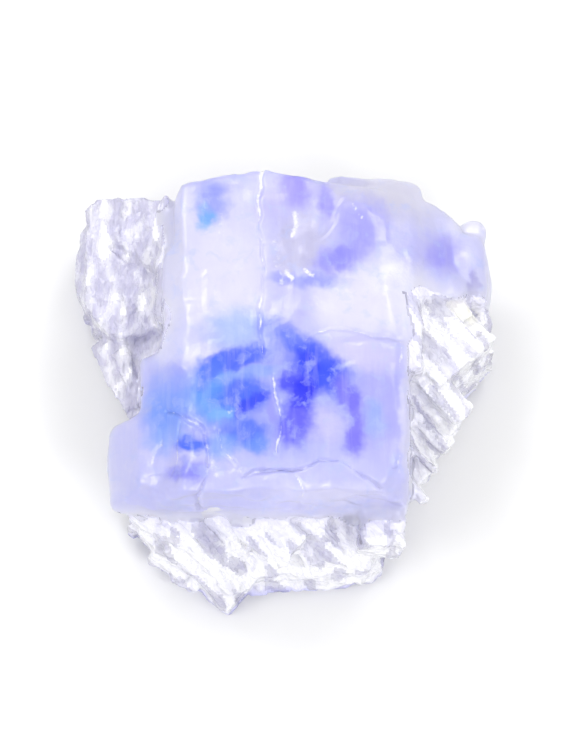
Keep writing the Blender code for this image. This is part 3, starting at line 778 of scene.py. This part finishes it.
# Thin lines of painted shade along the facets' edges.
colour = mix(tree, inside["Shade lines"], colour, shade(196, 194, 216))
finished(tree, shader, colour, inside["Height"], shade(224, 222, 250))

# Crushed salt: white, partly as painted highlight, with a faint yellow stain behind the turned cube.
STAIN = [((23.4, 8.4), (2.2, 1.6), -40, 0.6, 0.8, (238, 236, 214))]
powder, tree, shader = salt("crushed salt", transmission=0.3, roughness=0.22, density=4.0)
inside = placed(tree, cleaved).outputs
powdered = eased(tree, inside["Whiteness"], -0.3, 0.25, 0.0, 1.0)
colour = mix(tree, powdered, shade(231, 230, 239), WHITE)
# Thin lines of painted shade along the facets' edges.
colour = mix(tree, inside["Shade lines"], colour, shade(214, 212, 228))
colour = patched(tree, placed(tree, cloud).outputs["Place"], colour, STAIN)
finished(tree, shader, colour, inside["Height"], shade(228, 226, 250))

# The block's faces take the first slot, and a clear crystal's take the third where they are crushed or carry
# a painted highlight.
halite.data.materials.clear()
halite.data.materials.append(milky)
halite.data.materials.append(clear)
halite.data.materials.append(powder)
for face in halite.data.polygons:
    if not sides[face.vertices[0]]:
        face.material_index = 0
    elif sum(crushed[corner] for corner in face.vertices) > 0.0:
        face.material_index = 2
    else:
        face.material_index = 1
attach(halite, "root")
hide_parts("halite_crystal")

# The photographer's table: a white sheet much larger than the view, lit from all around.
PAPER = (0.66, 0.66, 0.66, 1.0)
PAPER_DROP = 0.05 * MM
bpy.ops.object.select_all(action="DESELECT")
bpy.ops.mesh.primitive_plane_add(size=6.0, location=(0.0, 0.0, -PAPER_DROP))
table = bpy.context.object
table.name = "table"
paper = bpy.data.materials.new("white paper")
paper.use_nodes = True
paper.node_tree.nodes["Principled BSDF"].inputs["Base Color"].default_value = PAPER
paper.node_tree.nodes["Principled BSDF"].inputs["Roughness"].default_value = 0.9
table.data.materials.append(paper)

# The room around the table: bright above the horizon, and darker straight overhead, where the camera is.
HORIZON = (0.6, 0.6, 0.62, 1.0)
CEILING = (1.0, 1.0, 1.0, 1.0)
OVERHEAD = (0.4, 0.4, 0.4, 1.0)
world = bpy.data.worlds.new("studio")
bpy.context.scene.world = world
world.use_nodes = True
tree = world.node_tree
backdrop = tree.nodes["Background"]
backdrop.inputs["Strength"].default_value = 1.15
direction = node(tree, "ShaderNodeTexCoord").outputs["Generated"]
height = node(tree, "ShaderNodeSeparateXYZ", direction).outputs[2]
rise = eased(tree, height, 0.0, 0.75, 0.0, 1.0)
lit = mix(tree, rise, HORIZON, CEILING)
overhead = eased(tree, height, 0.93, 0.97, 0.0, 1.0)
tree.links.new(mix(tree, overhead, lit, OVERHEAD), backdrop.inputs["Color"])

# Softboxes around the table: the turn and the height of each in degrees, its length and width in metres, and
# its power in watts.
SOFTBOXES = [
    (-60, 48, 0.28, 0.08, 1.1),
    (40, 48, 0.28, 0.07, 1.25),
    (140, 50, 0.28, 0.06, 0.85),
    (215, 52, 0.28, 0.08, 1.1),
]
SOFTBOX_DISTANCE = 0.6
for turn, rise, length, width, power in SOFTBOXES:
    around = math.radians(turn)
    aim = Vector((math.sin(around), -math.cos(around), math.tan(math.radians(rise))))
    bpy.ops.object.light_add(type="AREA", location=aim.normalized() * SOFTBOX_DISTANCE)
    softbox = bpy.context.object
    softbox.name = "softbox"
    softbox.data.shape = "RECTANGLE"
    softbox.data.size = length
    softbox.data.size_y = width
    softbox.data.energy = power
    softbox.rotation_euler = (-softbox.location).to_track_quat("-Z", "Y").to_euler()

# The camera: high above the specimen and a little in front, with a long lens, as in the photograph.
IMAGE_HEIGHT = 750
IMAGE_WIDTH = 563
AIM = Vector((0.9, -0.8, 12.0)) * MM
AIM_COLUMN = 291.0
AIM_ROW = 396.0
RISE = math.radians(75)
DISTANCE = 0.5
bpy.ops.object.camera_add(location=AIM + Vector((0.0, -math.cos(RISE), math.sin(RISE))) * DISTANCE)
camera = bpy.context.object
camera.rotation_euler = (math.pi / 2 - RISE, 0.0, 0.0)
camera.data.sensor_width = 36.0
camera.data.lens = 180.0
camera.data.shift_x = (IMAGE_WIDTH / 2 - AIM_COLUMN) / IMAGE_HEIGHT
camera.data.shift_y = (AIM_ROW - IMAGE_HEIGHT / 2) / IMAGE_HEIGHT
camera.data.clip_start = 0.01
bpy.context.scene.camera = camera
bpy.context.scene.view_settings.view_transform = "Standard"
